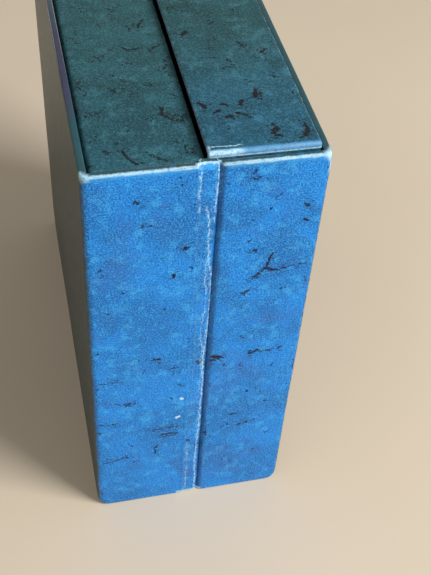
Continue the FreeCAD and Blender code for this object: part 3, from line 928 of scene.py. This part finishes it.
@dataclass(frozen=True)
class TrayPaper:
    """Dark printed paper of a tray, rubbed along its head edge; the right tray also has a painted highlight there.
    """

    side: Side
    front: float
    top: float
    rim: float
    base: float
    RIM = EdgeWearAndHighlight(0.1, 0.6, 0.25)
    LEFT_CORNER = EdgeWearAndHighlight(0.7, 1.6, 0.8)
    LEFT_UPPER_PART = EdgeWearAndHighlight(1.0, 4.0)
    HEAD_EDGE = EdgeWearAndHighlight(1.0, 2.3)
    HEAD_ARRIS = EdgeWearAndHighlight(0.2, 0.8, 0.6)
    LOWER_LINE = EdgeWearAndHighlight(0.2, 0.5, 0.9)
    LOWER_LINE_DROP = 2.1
    LOOP = EdgeWearAndHighlight(0.15, 0.45, 0.8)
    LOOP_DEPTH = 3.6
    START = EdgeWearAndHighlight(0.5, 1.4, 0.9)
    # Painted highlight along the right tray's rounded head edge.
    PAINTED_HEAD_HIGHLIGHT = EdgeWearAndHighlight(1.4, 2.6, 0.7)

    def rubbed(self, shader: Shader, place: Feed, across: Feed, y: Feed, z: Feed) -> bpy.types.NodeSocket:
        """Add the places that are rubbed through: the head's front edge, an arris and the rim.

        Args:
            shader: the tree to add to.
            place: object coordinates in millimetres.
            across: distance from the middle of the case.
            y: the place's y.
            z: the place's z.

        Returns:
            How bare the paper is, 0 to 1.
        """
        shaken = shader.tremor(place, 3.5, 2.0, 3.0, 0.7)
        behind = shader.minus(y, self.front)
        below = shader.minus(self.top, z)
        inside = shader.minus(across, self.rim)
        outside = shader.minus(self.base, across)
        rim_line = self.RIM.paint(shader, shader.plus(inside, shaken))
        if self.side is Side.LEFT:
            corner = shader.plus(shader.largest(behind, outside), shaken)
            upper = self.LEFT_UPPER_PART.paint(shader, below)
            return shader.largest(self.LEFT_CORNER.paint(shader, corner, upper), rim_line)
        head = shader.largest(behind, below)
        strength = shader.largest(shader.rise(across, 17.0, 11.0), 0.2)
        edge = self.HEAD_EDGE.paint(shader, shader.plus(head, shaken), strength)
        ring = shader.magnitude(shader.minus(shader.plus(behind, shaken), self.LOOP_DEPTH))
        loop = self.LOOP.paint(shader, ring, shader.rise(across, 15.0, 12.0), shader.rise(below, 1.4, 0.6))
        start = self.START.paint(shader, shader.plus(inside, shaken), shader.rise(behind, 5.0, 4.0),
                                 shader.rise(below, 7.0, 3.0))
        side = self.HEAD_ARRIS.paint(shader, shader.plus(shader.largest(outside, below), shaken))
        drop = shader.magnitude(shader.minus(below, self.LOWER_LINE_DROP))
        lower = self.LOWER_LINE.paint(shader, drop, shader.rise(behind, 0.9, 0.5))
        return shader.largest(edge, loop, start, side, lower, rim_line)

    def make(self) -> bpy.types.Material:
        """Make the material of one tray's wrap.

        Returns:
            The finished material.
        """
        shader = Shader(f"{self.side.value}_tray_paper")
        place = shader.place()
        x, y, z = shader.split(place)
        across = shader.magnitude(x)
        green = TRAY_PRINT.paint(shader, place)
        blue = TRAY_BLUE_PRINT.paint(shader, place)
        near = shader.plus(y, shader.product(shader.cloud(place, 20.0), 30.0))
        blueness = shader.rise(near, self.front + 110, self.front + 16)
        share = 0.3 if self.side is Side.LEFT else 0.9
        colour = shader.mix(shader.product(blueness, share), green, blue)
        strokes = LEFT_TRAY_STROKES if self.side is Side.LEFT else RIGHT_TRAY_STROKES
        flat = shader.join(x, y, 0.0)
        on_head = shader.rise(z, self.top - 3.0, self.top - 1.5)
        marks = Marks(strokes, 5.2, 0.5, 4.4, 0.57).paint(shader, place, flat, on_head)
        colour = shader.mix(marks, colour, TRAY_MARK)
        # Painted highlight: brighter blue along the right tray's rounded head edge.
        if self.side is Side.RIGHT:
            head = shader.largest(shader.minus(y, self.front), shader.minus(self.top, z))
            colour = shader.mix(self.PAINTED_HEAD_HIGHLIGHT.paint(shader, head), colour, TRAY_HIGHLIGHT_BLUE)
        fibre = shader.patches(place, 0.9, 0.32, 0.55, 3.0, 0.7)
        rubbed = shader.product(self.rubbed(shader, place, across, y, z), shader.at_least(fibre, 0.4))
        colour = shader.mix(rubbed, colour, BARE_PAPER)
        normal = shader.paper_relief(place, 0.6, 9.0, shader.product(marks, 0.5))
        rough = shader.plus(shader.product(shader.cloud(place, 6.0, 3.0), 0.16), 0.34)
        return shader.surface(colour, rough, normal, Specular_IOR_Level=0.34)


@dataclass(frozen=True)
class PlainPaper:
    """Uncoated lining paper with fibres and a faint laid texture."""

    name: str
    body: Colour
    fleck: Colour

    def make(self) -> bpy.types.Material:
        """Make the lining's material.

        Returns:
            The finished material.
        """
        shader = Shader(self.name)
        place = shader.place()
        fibres = shader.cloud(shader.vectors("MULTIPLY", place, (1.0, 1.0, 0.22)), 1.1, 4.0, 0.7, 1.2)
        soft = shader.cloud(place, 18.0, 3.0)
        colour = shader.mix(shader.rise(fibres, 0.45, 0.68), self.body, self.fleck)
        colour = shader.mix(shader.product(soft, 0.35), colour, tuple(c * 0.6 for c in self.body))
        normal = shader.bump(fibres, 0.12)
        return shader.surface(colour, 0.82, normal, Specular_IOR_Level=0.3)


@dataclass(frozen=True)
class BookCloth:
    """Closely woven hinge cloth."""

    name: str
    body: Colour
    thread: float = 0.55

    def make(self) -> bpy.types.Material:
        """Make the cloth's material.

        Returns:
            The finished material.
        """
        shader = Shader(self.name)
        place = shader.place()
        x, _, z = shader.split(shader.jitter(place, 4.0, 0.12))
        turn = 2 * math.pi / self.thread
        warp = shader.math("SINE", shader.product(x, turn))
        weft = shader.math("SINE", shader.product(z, turn))
        weave = shader.plus(shader.product(warp, weft, 0.5), 0.5)
        slub = shader.cloud(place, 2.5, 3.0)
        colour = shader.mix(shader.product(weave, 0.6), self.body, tuple(c * 2.1 for c in self.body))
        colour = shader.mix(shader.product(slub, 0.3), colour, tuple(c * 0.5 for c in self.body))
        return shader.surface(colour, 0.88, shader.bump(weave, 0.12), Specular_IOR_Level=0.2,
                              Sheen_Weight=0.25)


@dataclass(frozen=True)
class GreyBoard:
    """Pressed grey binder's board with fibres and specks."""

    def make(self) -> bpy.types.Material:
        """Make the board's material.

        Returns:
            The finished material.
        """
        shader = Shader("greyboard")
        place = shader.place()
        fibres = shader.cloud(place, 1.4, 5.0, 0.75, 0.8)
        specks = shader.rise(shader.cells(place, 1.2).outputs["Distance"], 0.16, 0.06)
        colour = shader.mix(shader.rise(fibres, 0.35, 0.7), (0.20, 0.185, 0.165), (0.36, 0.34, 0.31))
        colour = shader.mix(shader.product(specks, 0.5), colour, (0.09, 0.08, 0.075))
        return shader.surface(colour, 0.9, shader.bump(fibres, 0.15), Specular_IOR_Level=0.25)


@dataclass(frozen=True)
class PlatedSteel:
    """Nickel-plated steel with fine scratches and faint finger haze."""

    name: str
    tint: Colour = (0.66, 0.665, 0.67)
    roughness: float = 0.17

    def make(self) -> bpy.types.Material:
        """Make the metal's material.

        Returns:
            The finished material.
        """
        shader = Shader(self.name)
        place = shader.place()
        scratch = shader.cloud(shader.vectors("MULTIPLY", place, (1.0, 1.0, 0.06)), 0.35, 4.0, 0.7)
        haze = shader.cloud(place, 9.0, 4.0, 0.6)
        spots = shader.rise(shader.cells(shader.jitter(place, 1.0, 0.4), 5.0).outputs["Distance"], 0.10, 0.03)
        colour = shader.mix(shader.product(haze, 0.35), self.tint, tuple(c * 0.72 for c in self.tint))
        colour = shader.mix(shader.product(spots, 0.2), colour, (0.28, 0.25, 0.21))
        rough = shader.plus(shader.product(haze, 0.14), self.roughness, shader.product(scratch, 0.08))
        return shader.surface(colour, rough, shader.bump(scratch, 0.003), Metallic=1.0)


# ---- the case ----

@dataclass
class HalfCase:
    """One cover and half the spine in their printed paper."""

    side: Side
    arris: float
    lip: float
    edge: float = 0.9
    grid: float = 7.0
    ripple: float = 0.10
    head_crush: float = 0.8
    tail_crush: float = 2.6
    crush_reach: float = 7.0
    NEAR_END = (1.5, 2.3, 3.3, 4.6, 6.0)
    NEAR_ARRIS = (2.6, 3.6, 5.0)
    BOARD_SHARE = 1.15
    low: Vector = field(init=False)
    high: Vector = field(init=False)
    inside_x: float = field(init=False)
    inside_y: float = field(init=False)

    def __post_init__(self) -> None:
        """Read the half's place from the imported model."""
        self.low, self.high = box_mm(f"{self.side.value}_outer_wrap")
        cover = box_mm(f"{self.side.value}_cover_board")
        paper = self.high.z - cover[1].z
        self.inside_x = (cover[1].x + paper) if self.side is Side.LEFT else (cover[0].x - paper)
        self.inside_y = box_mm(f"{self.side.value}_spine_board")[1].y + paper

    @property
    def seed(self) -> float:
        """Where this half's noise starts."""
        return 3.1 if self.side is Side.LEFT else 8.7

    @property
    def outer_x(self) -> float:
        """The cover's outer face."""
        return self.low.x if self.side is Side.LEFT else self.high.x

    @property
    def joint_x(self) -> float:
        """The spine board's edge at the joint."""
        return self.high.x if self.side is Side.LEFT else self.low.x

    def build(self, paper: bpy.types.Material) -> bpy.types.Object:
        """Model the covered boards as one bent slab with worn corners.

        Args:
            paper: the case's paper.

        Returns:
            The finished piece.
        """
        sides = sorted((self.outer_x, self.inside_x))
        piece = block(f"{self.side.value}_case_paper", Vector((sides[0], self.low.y, self.low.z)),
                      Vector((sides[1], self.high.y, self.high.z)))
        slice_at(piece, 1, [self.inside_y])
        shape(piece, "faces", self.faces_joint,
              lambda: bpy.ops.mesh.extrude_region_move(
                  TRANSFORM_OT_translate={"value": ((self.joint_x - self.inside_x) * MM, 0, 0)}))
        for edge_x, width in ((self.outer_x, self.arris), (self.joint_x, self.lip)):
            soften(piece, width, 8, lambda e: self.is_upright(e, edge_x, self.low.y, TOUCH))
        soften(piece, self.edge, 4, is_sharp)
        low_x, high_x = sorted((self.inside_x, self.joint_x))
        slice_at(piece, 2, self.levels())
        slice_at(piece, 1, self.depths())
        beside = [self.outer_x - self.side.sign * gap for gap in self.NEAR_ARRIS]
        slice_at(piece, 0, spread(low_x, high_x, self.grid) + beside)
        move_points(piece, self.worn)
        finish_piece(piece, paper)
        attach(piece, self.side.body)
        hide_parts(f"{self.side.value}_outer_wrap")
        return piece

    def build_boards(self, board: bpy.types.Material) -> list[bpy.types.Object]:
        """Model the two boards under the paper, rounded and crushed as the paper is.

        Args:
            board: the boards' material.

        Returns:
            The two finished pieces.
        """
        made = []
        edges = {"spine_board": (self.joint_x, self.lip), "cover_board": (self.outer_x, self.arris)}
        for part, (edge_x, width) in edges.items():
            node = f"{self.side.value}_{part}"
            low, high = box_mm(node)
            paper = self.high.z - high.z
            piece = block(f"{node}_worn", low, high)
            soften(piece, width - paper, 6, lambda e: self.is_upright(e, edge_x, low.y, 2 * paper))
            slice_at(piece, 2, self.levels())
            slice_at(piece, 1, self.depths())
            move_points(piece, lambda place, normal: self.crushed(place, self.BOARD_SHARE))
            finish_piece(piece, board)
            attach(piece, self.side.body)
            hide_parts(node)
            made.append(piece)
        return made

    @staticmethod
    def is_upright(edge: bmesh.types.BMEdge, x: float, y: float, gap: float) -> bool:
        """Tell whether an edge runs upwards at a place.

        Args:
            edge: the edge.
            x: the place's x.
            y: the place's y.
            gap: how far off the edge may be.

        Returns:
            Whether it does.
        """
        at = middle(edge)
        return runs_along(edge, 2) and abs(at.x - x) < gap and abs(at.y - y) < gap

    def faces_joint(self, face: bmesh.types.BMFace) -> bool:
        """Whether a face is the end of the spine's part that grows towards the joint."""
        return -self.side.sign * face.normal.x > 0.9 and middle(face).y < self.inside_y

    def levels(self) -> list[float]:
        """Heights of the cuts across the boards, closer together near the head and tail."""
        ends = [self.low.z + c for c in self.NEAR_END] + [self.high.z - c for c in self.NEAR_END]
        return ends + spread(self.low.z + self.NEAR_END[-1], self.high.z - self.NEAR_END[-1], self.grid)

    def depths(self) -> list[float]:
        """Places of the cuts from the spine to the fore-edge, closer together at the fore-edge."""
        ends = [self.high.y - c for c in self.NEAR_END]
        return ends + spread(self.inside_y, self.high.y - self.NEAR_END[-1], self.grid)

    def crushed(self, place: Vector, share: float = 1.0) -> Vector:
        """Push a point near a corner inwards.

        Args:
            place: the point's place.
            share: how much further than the paper it goes.

        Returns:
            How far it moves.
        """
        move = Vector()
        for end, crush in ((self.low.z, self.tail_crush), (self.high.z, self.head_crush)):
            for y in (self.low.y, self.high.y):
                corner = Vector((self.outer_x, y, end))
                near = max(0.0, 1 - (place - corner).length / self.crush_reach)
                centre = Vector((-self.side.sign, 0.2 if y < 0 else -0.2, 1 if end < 1 else -1))
                move += centre * (near ** 2 * crush * share * (0.7 + 0.3 * wobble(place, 2.0, self.seed)))
        return move

    def worn(self, place: Vector, normal: Vector) -> Vector:
        """Wear a point of the case: gentle ripples and crushed corners.

        Args:
            place: the point's place.
            normal: the surface's direction there.

        Returns:
            How far it moves.
        """
        move = self.crushed(place) + normal * (wobble(place, 31.0, self.seed) * self.ripple - self.ripple)
        if place.z < self.low.z + 0.01:
            move.z = max(move.z, 0.0)
        return move


@dataclass
class SpineJoint:
    """The paper pressed into the groove outside, and the two parts of the cloth inside."""

    columns: int = 46
    rows: int = 190
    overlap: float = 0.4
    thickness: float = 0.3
    roll: float = 1.3
    open_share: float = 0.22
    cloth_reach: float = 14.0
    fold: float = 1.4
    waver: float = 0.25
    swell: float = 0.25
    crumple: float = 0.07
    lift: float = 0.02
    rim: float = 0.1
    head_sink: float = 1.5
    head_reach: float = 5.0
    cloth_short: float = 0.8
    cloth_step: float = 1.4
    cloth_gap: float = 0.05
    cloth_ripple: float = 0.03
    # How far the paper lies behind the spine's face, as (x, depth) across the groove.
    PROFILE = ((-4.6, 0.06), (-4.1, 0.04), (-2.6, 0.18), (-1.6, 0.10), (-0.5, 0.14), (1.4, 0.24),
               (2.6, 0.38), (3.4, 0.62), (4.0, 1.15), (4.6, 1.75))
    groove: float = field(init=False)
    face: float = field(init=False)
    plane: float = field(init=False)
    inside: float = field(init=False)
    top: float = field(init=False)
    creases: tuple[Vector, Vector] = field(init=False)

    def __post_init__(self) -> None:
        """Read the joint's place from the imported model."""
        face, boards = box_mm("left_outer_wrap")
        self.groove = -boards.x
        self.top = boards.z
        self.face = face.y
        self.plane = box_mm("joint_paper")[1].y
        self.inside = box_mm("left_hinge_cloth")[0].y
        spots = {j["name"]: Vector(j["pos_m"]) / MM for j in frame["joints"]}
        self.creases = (spots["left_crease"], spots["right_crease"])

    def sheet(self, name: str, start: float, end: float) -> bpy.types.Object:
        """Start a piece as a flat upright grid, a little taller than the case.

        Args:
            name: the piece's name.
            start: its left end across the spine.
            end: its right end.

        Returns:
            The new object.
        """
        deselect()
        length = self.top + 2 * self.roll
        bpy.ops.mesh.primitive_grid_add(
            x_subdivisions=self.columns, y_subdivisions=self.rows, size=1,
            location=((start + end) / 2 * MM, 0, self.top / 2 * MM), rotation=(math.pi / 2, 0, 0))
        bpy.context.object.scale = ((end - start) * MM, length * MM, 1)
        return settle(bpy.context.object, name)

    def thicken(self, piece: bpy.types.Object) -> None:
        """Give a sheet its thickness behind its face.

        Args:
            piece: the sheet.
        """
        take(piece)
        solid = piece.modifiers.new("thickness", "SOLIDIFY")
        solid.thickness = self.thickness * MM
        solid.offset = -1
        bpy.ops.object.modifier_apply(modifier=solid.name)

    def build(self, paper: bpy.types.Material, cloth: bpy.types.Material) -> list[bpy.types.Object]:
        """Model the paper outside and the two parts of the cloth.

        Args:
            paper: the case's paper.
            cloth: the hinge cloth.

        Returns:
            The three finished pieces.
        """
        edge = self.groove + self.overlap
        outer = self.sheet("joint_face_paper", -edge, edge)
        move_points(outer, self.paper_bend)
        self.thicken(outer)
        finish_piece(outer, paper)
        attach(outer, "joint_strip")
        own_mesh(outer)
        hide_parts("joint_paper")
        made = [outer]
        bodies = (("left_half", "joint_strip"), ("joint_strip", "right_half"))
        reach = self.groove + self.cloth_reach
        for side, pair, crease in zip(Side, bodies, self.creases):
            start, end = sorted((side.sign * reach, 0.0))
            lining = self.sheet(f"{side.value}_joint_cloth", start, end)
            move_points(lining, self.cloth_bend)
            self.thicken(lining)
            finish_piece(lining, cloth)
            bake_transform(lining)
            made.append(lining)
        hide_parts("joint_cloth", "left_hinge_cloth")
        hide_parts("right_hinge_cloth")
        return made

    def depth(self, x: float) -> float:
        """Read the groove's profile.

        Args:
            x: place across the groove.

        Returns:
            How far the paper lies behind the spine's face there.
        """
        for (x0, d0), (x1, d1) in zip(self.PROFILE, self.PROFILE[1:]):
            if x <= x1:
                return d0 + (d1 - d0) * ease((x - x0) / (x1 - x0))
        return self.PROFILE[-1][1]

    def paper_bend(self, place: Vector, normal: Vector) -> Vector:
        """Carry a flat point onto the paper's face in the groove, with its rolled ends.

        Args:
            place: the point's place.
            normal: the surface's direction there, which isn't needed.

        Returns:
            How far it moves.
        """
        level = Vector((0, 0, place.z))
        x = place.x + self.waver * wobble(level, 30.0, 4.0) * math.cos(place.x / self.groove)
        swell = 1 + self.swell * wobble(level, 45.0, 9.0)
        crumple = self.crumple * wobble(Vector((place.x * 2.0, 0, place.z)), 4.0, 1.7)
        inner = min(1.0, 2 * max(0.0, 1 - (place.x / self.groove) ** 2))
        near_head = max(0.0, 1 - (self.top - place.z) / self.head_reach)
        sink = self.head_sink * near_head ** 2 * inner
        y = self.face + self.depth(x) * swell + (crumple + self.lift) * inner + sink
        z = place.z
        for end, inward in ((self.rim, 1), (self.top - self.rim, -1)):
            over = (end - z) * inward
            if over > -self.roll:
                turn = min(math.pi / 2, (over + self.roll) / self.roll)
                z = end + inward * self.roll * (1 - math.sin(turn))
                y += self.roll * (1 - math.cos(turn)) + max(0.0, over + self.roll * (1 - math.pi / 2))
                break
        return Vector((0, y - place.y, z - place.z))

    def cloth_bend(self, place: Vector, normal: Vector) -> Vector:
        """Carry a flat point onto the cloth behind the groove and the spine boards.

        Args:
            place: the point's place.
            normal: the surface's direction there, which isn't needed.

        Returns:
            How far it moves.
        """
        share = ease((abs(place.x) - self.groove + 1.0) / self.cloth_step)
        strip = self.plane + self.lift
        step = (self.inside + self.cloth_gap - strip) * share
        y = strip + step + self.cloth_ripple * wobble(place, 6.0, 5.0)
        z = min(max(place.z, self.cloth_short), self.top - self.cloth_short)
        return Vector((0, y - place.y, z - place.z))


# ---- the trays ----

@dataclass
class Tray:
    """One tray in its dark printed paper, open towards the middle of the case."""

    side: Side
    corner: float
    rim_edge: float = 0.75
    rim_reach: float = 0.5
    grid: float = 8.0
    ripple: float = 0.12
    clear: float = 1.5
    low: Vector = field(init=False)
    high: Vector = field(init=False)
    wall: float = field(init=False)

    def __post_init__(self) -> None:
        """Read the tray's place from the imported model."""
        self.low, self.high = box_mm(f"{self.side.value}_tray_wrap")
        if self.side is Side.LEFT:
            self.high.x += self.rim_reach
        else:
            self.low.x -= self.rim_reach
        lining = box_mm(f"{self.side.value}_tray_lining")
        self.wall = lining[0].z - self.low.z

    @property
    def rim_x(self) -> float:
        """The open side's edge."""
        return self.high.x if self.side is Side.LEFT else self.low.x

    @property
    def base_x(self) -> float:
        """The closed side's outer face."""
        return self.low.x if self.side is Side.LEFT else self.high.x

    @property
    def lining_x(self) -> float:
        """Where the lining lies on the floor's paper."""
        low, high = box_mm(f"{self.side.value}_tray_lining")
        return low.x if self.side is Side.LEFT else high.x

    def build(self, paper: bpy.types.Material) -> bpy.types.Object:
        """Model the tray: a rounded box, hollowed from its open side.

        Args:
            paper: the tray's paper.

        Returns:
            The finished piece.
        """
        piece = block(f"{self.side.value}_tray_paper", self.low, self.high)
        shape(piece, "faces", lambda f: abs(middle(f).x - self.rim_x) < TOUCH,
              lambda: bpy.ops.mesh.inset(thickness=self.wall * MM, depth=0))
        shape(piece, "faces", self.is_mouth, lambda: bpy.ops.mesh.extrude_region_move(
            TRANSFORM_OT_translate={"value": ((self.lining_x - self.rim_x) * MM, 0, 0)}))
        soften(piece, self.corner, 7, self.is_outer_corner)
        soften(piece, self.rim_edge, 3, is_sharp)
        slice_at(piece, 2, self.near_and_far(2))
        slice_at(piece, 1, self.near_and_far(1))
        slice_at(piece, 0, spread(self.low.x + 5, self.high.x - 5, self.grid))
        move_points(piece, self.worn)
        finish_piece(piece, paper)
        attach(piece, self.side.body)
        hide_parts(f"{self.side.value}_tray_wrap")
        return piece

    def near_and_far(self, axis: int) -> list[float]:
        """Choose the places of the cuts across one axis.

        Args:
            axis: 1 or 2 for y or z.

        Returns:
            The places, from just inside one wall to just inside the other.
        """
        start = self.low[axis] + self.wall + self.clear
        end = self.high[axis] - self.wall - self.clear
        return [start, end] + spread(start, end, self.grid)

    def is_mouth(self, face: bmesh.types.BMFace) -> bool:
        """Tell whether a face is the tray's open side, inside its rim.

        Args:
            face: the face.

        Returns:
            Whether it is.
        """
        at = middle(face)
        wide = face.calc_area() / MM ** 2 > 0.5 * (self.high.y - self.low.y) * (self.high.z - self.low.z)
        return abs(at.x - self.rim_x) < TOUCH and wide

    def is_outer_corner(self, edge: bmesh.types.BMEdge) -> bool:
        """Tell whether an edge is on the outside, either around the base or along a wall's corner.

        Args:
            edge: the edge.

        Returns:
            Whether it is.
        """
        at = middle(edge)
        outside = min(abs(at.y - self.low.y), abs(at.y - self.high.y)) < TOUCH
        level = min(abs(at.z - self.low.z), abs(at.z - self.high.z)) < TOUCH
        if runs_along(edge, 0):
            return outside and level
        return abs(at.x - self.base_x) < TOUCH and (outside or level)

    def worn(self, place: Vector, normal: Vector) -> Vector:
        """Gentle ripples of the board and its paper, always inwards of the sharp shape."""
        seed = 5.3 if self.side is Side.LEFT else 11.9
        return normal * (wobble(place, 37.0, seed) * self.ripple - self.ripple)


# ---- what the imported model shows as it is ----

class Fittings:
    """The CAD nodes that keep their shape and only get a finish."""

    def dress(self) -> None:
        """Give each remaining node its material."""
        finishes = {
            "greyboard": GreyBoard().make(),
            "lining_paper": PlainPaper("lining_paper", (0.018, 0.050, 0.062), (0.045, 0.090, 0.100)).make(),
            "magnet_metal": PlatedSteel("magnet_metal", (0.45, 0.45, 0.46), 0.35).make(),
            "plated_steel": PlatedSteel("plated_steel").make(),
            "ring_wire": PlatedSteel("ring_wire", (0.74, 0.745, 0.75), 0.10).make(),
            "hinge_cloth": BookCloth("node_cloth", CLOTH_DARK).make(),
        }
        for row in frame["record"]["subparts"]:
            node = frame["nodes"].get(row["node"])
            finish = finishes.get(row["material_slot"])
            if node is not None and finish is not None:
                node.data.materials.clear()
                node.data.materials.append(finish)
                LOG.info("%s dressed as %s", row["node"], finish.name)


# ---- the room ----

@dataclass
class Studio:
    """Pale floor, soft lights and the camera; the camera's places are in metres."""

    camera_place: Vector = field(default_factory=lambda: Vector((-0.0697, -0.3776, 0.4553)))
    camera_aim: Vector = field(default_factory=lambda: Vector((0.1865, 0.6577, -0.7298)))
    camera_right: Vector = field(default_factory=lambda: Vector((0.9751, -0.2147, 0.0556)))
    lens: float = 60.8
    lamp_aim: Vector = field(default_factory=lambda: Vector((0, 0, 0.1)))
    sky_colour: Colour = (1.0, 0.95, 0.87)
    sky_strength: float = 0.36

    def floor(self) -> None:
        """A large pale floor."""
        deselect()
        bpy.ops.mesh.primitive_plane_add(size=6.0, location=(0, 0, 0))
        floor = settle(bpy.context.object, "floor")
        shader = Shader("pale_floor")
        place = shader.place()
        soft = shader.cloud(place, 260.0, 3.0)
        colour = shader.mix(soft, (0.58, 0.50, 0.40), (0.66, 0.58, 0.47))
        floor.data.materials.append(shader.surface(colour, 0.6, shader.bump(soft, 0.1),
                                                   Specular_IOR_Level=0.3))

    def lamp(self, name: str, place: Sequence[float], size: float, power: float, colour: Colour) -> None:
        """Hang a square soft light that faces the case.

        Args:
            name: the lamp's name.
            place: where it hangs, in metres.
            size: its side in metres.
            power: its power in watts.
            colour: its colour.
        """
        data = bpy.data.lights.new(name, "AREA")
        data.size = size
        data.energy = power
        data.color = colour
        lamp = bpy.data.objects.new(name, data)
        bpy.context.scene.collection.objects.link(lamp)
        lamp.location = place
        lamp.rotation_euler = (self.lamp_aim - Vector(place)).to_track_quat("-Z", "Y").to_euler()

    def build(self) -> None:
        """Set up the floor, the lights, the sky and the camera."""
        self.floor()
        self.lamp("window", (1.35, -1.05, 1.55), 0.9, 56.0, (1.0, 0.97, 0.93))
        self.lamp("room", (-1.3, -1.2, 1.8), 2.0, 7.0, (1.0, 0.96, 0.90))
        world = bpy.data.worlds.new("room_light")
        bpy.context.scene.world = world
        world.use_nodes = True
        sky = world.node_tree.nodes["Background"]
        sky.inputs["Color"].default_value = (*self.sky_colour, 1.0)
        sky.inputs["Strength"].default_value = self.sky_strength
        data = bpy.data.cameras.new("camera")
        data.lens = self.lens
        camera = bpy.data.objects.new("camera", data)
        bpy.context.scene.collection.objects.link(camera)
        aim = self.camera_aim.normalized()
        right = (self.camera_right - aim * self.camera_right.dot(aim)).normalized()
        turn = Matrix((right, right.cross(aim), -aim)).transposed()
        camera.matrix_world = Matrix.Translation(self.camera_place) @ turn.to_4x4()
        bpy.context.scene.camera = camera
        bpy.context.scene.view_settings.view_transform = "Standard"


def main() -> None:
    """Build and dress every piece in order."""
    logging.basicConfig(level=logging.INFO, format="%(name)s: %(message)s")
    Studio().build()
    left = HalfCase(Side.LEFT, arris=3.0, lip=0.5)
    right = HalfCase(Side.RIGHT, arris=1.7, lip=2.8)
    joint = SpineJoint()
    case_paper = CasePaper(right.high.x, left.low.y, left.high.z, joint.groove).make()
    cloth = BookCloth("hinge_cloth", CLOTH_DARK).make()
    board = GreyBoard().make()
    for half in (left, right):
        half.build(case_paper)
        half.build_boards(board)
    joint.build(case_paper, cloth)
    for side, corner in ((Side.LEFT, 3.0), (Side.RIGHT, 1.8)):
        tray = Tray(side, corner)
        tray.build(TrayPaper(side, tray.low.y, tray.high.z, abs(tray.rim_x), abs(tray.base_x)).make())
    Fittings().dress()


if __name__ == "__main__":
    main()
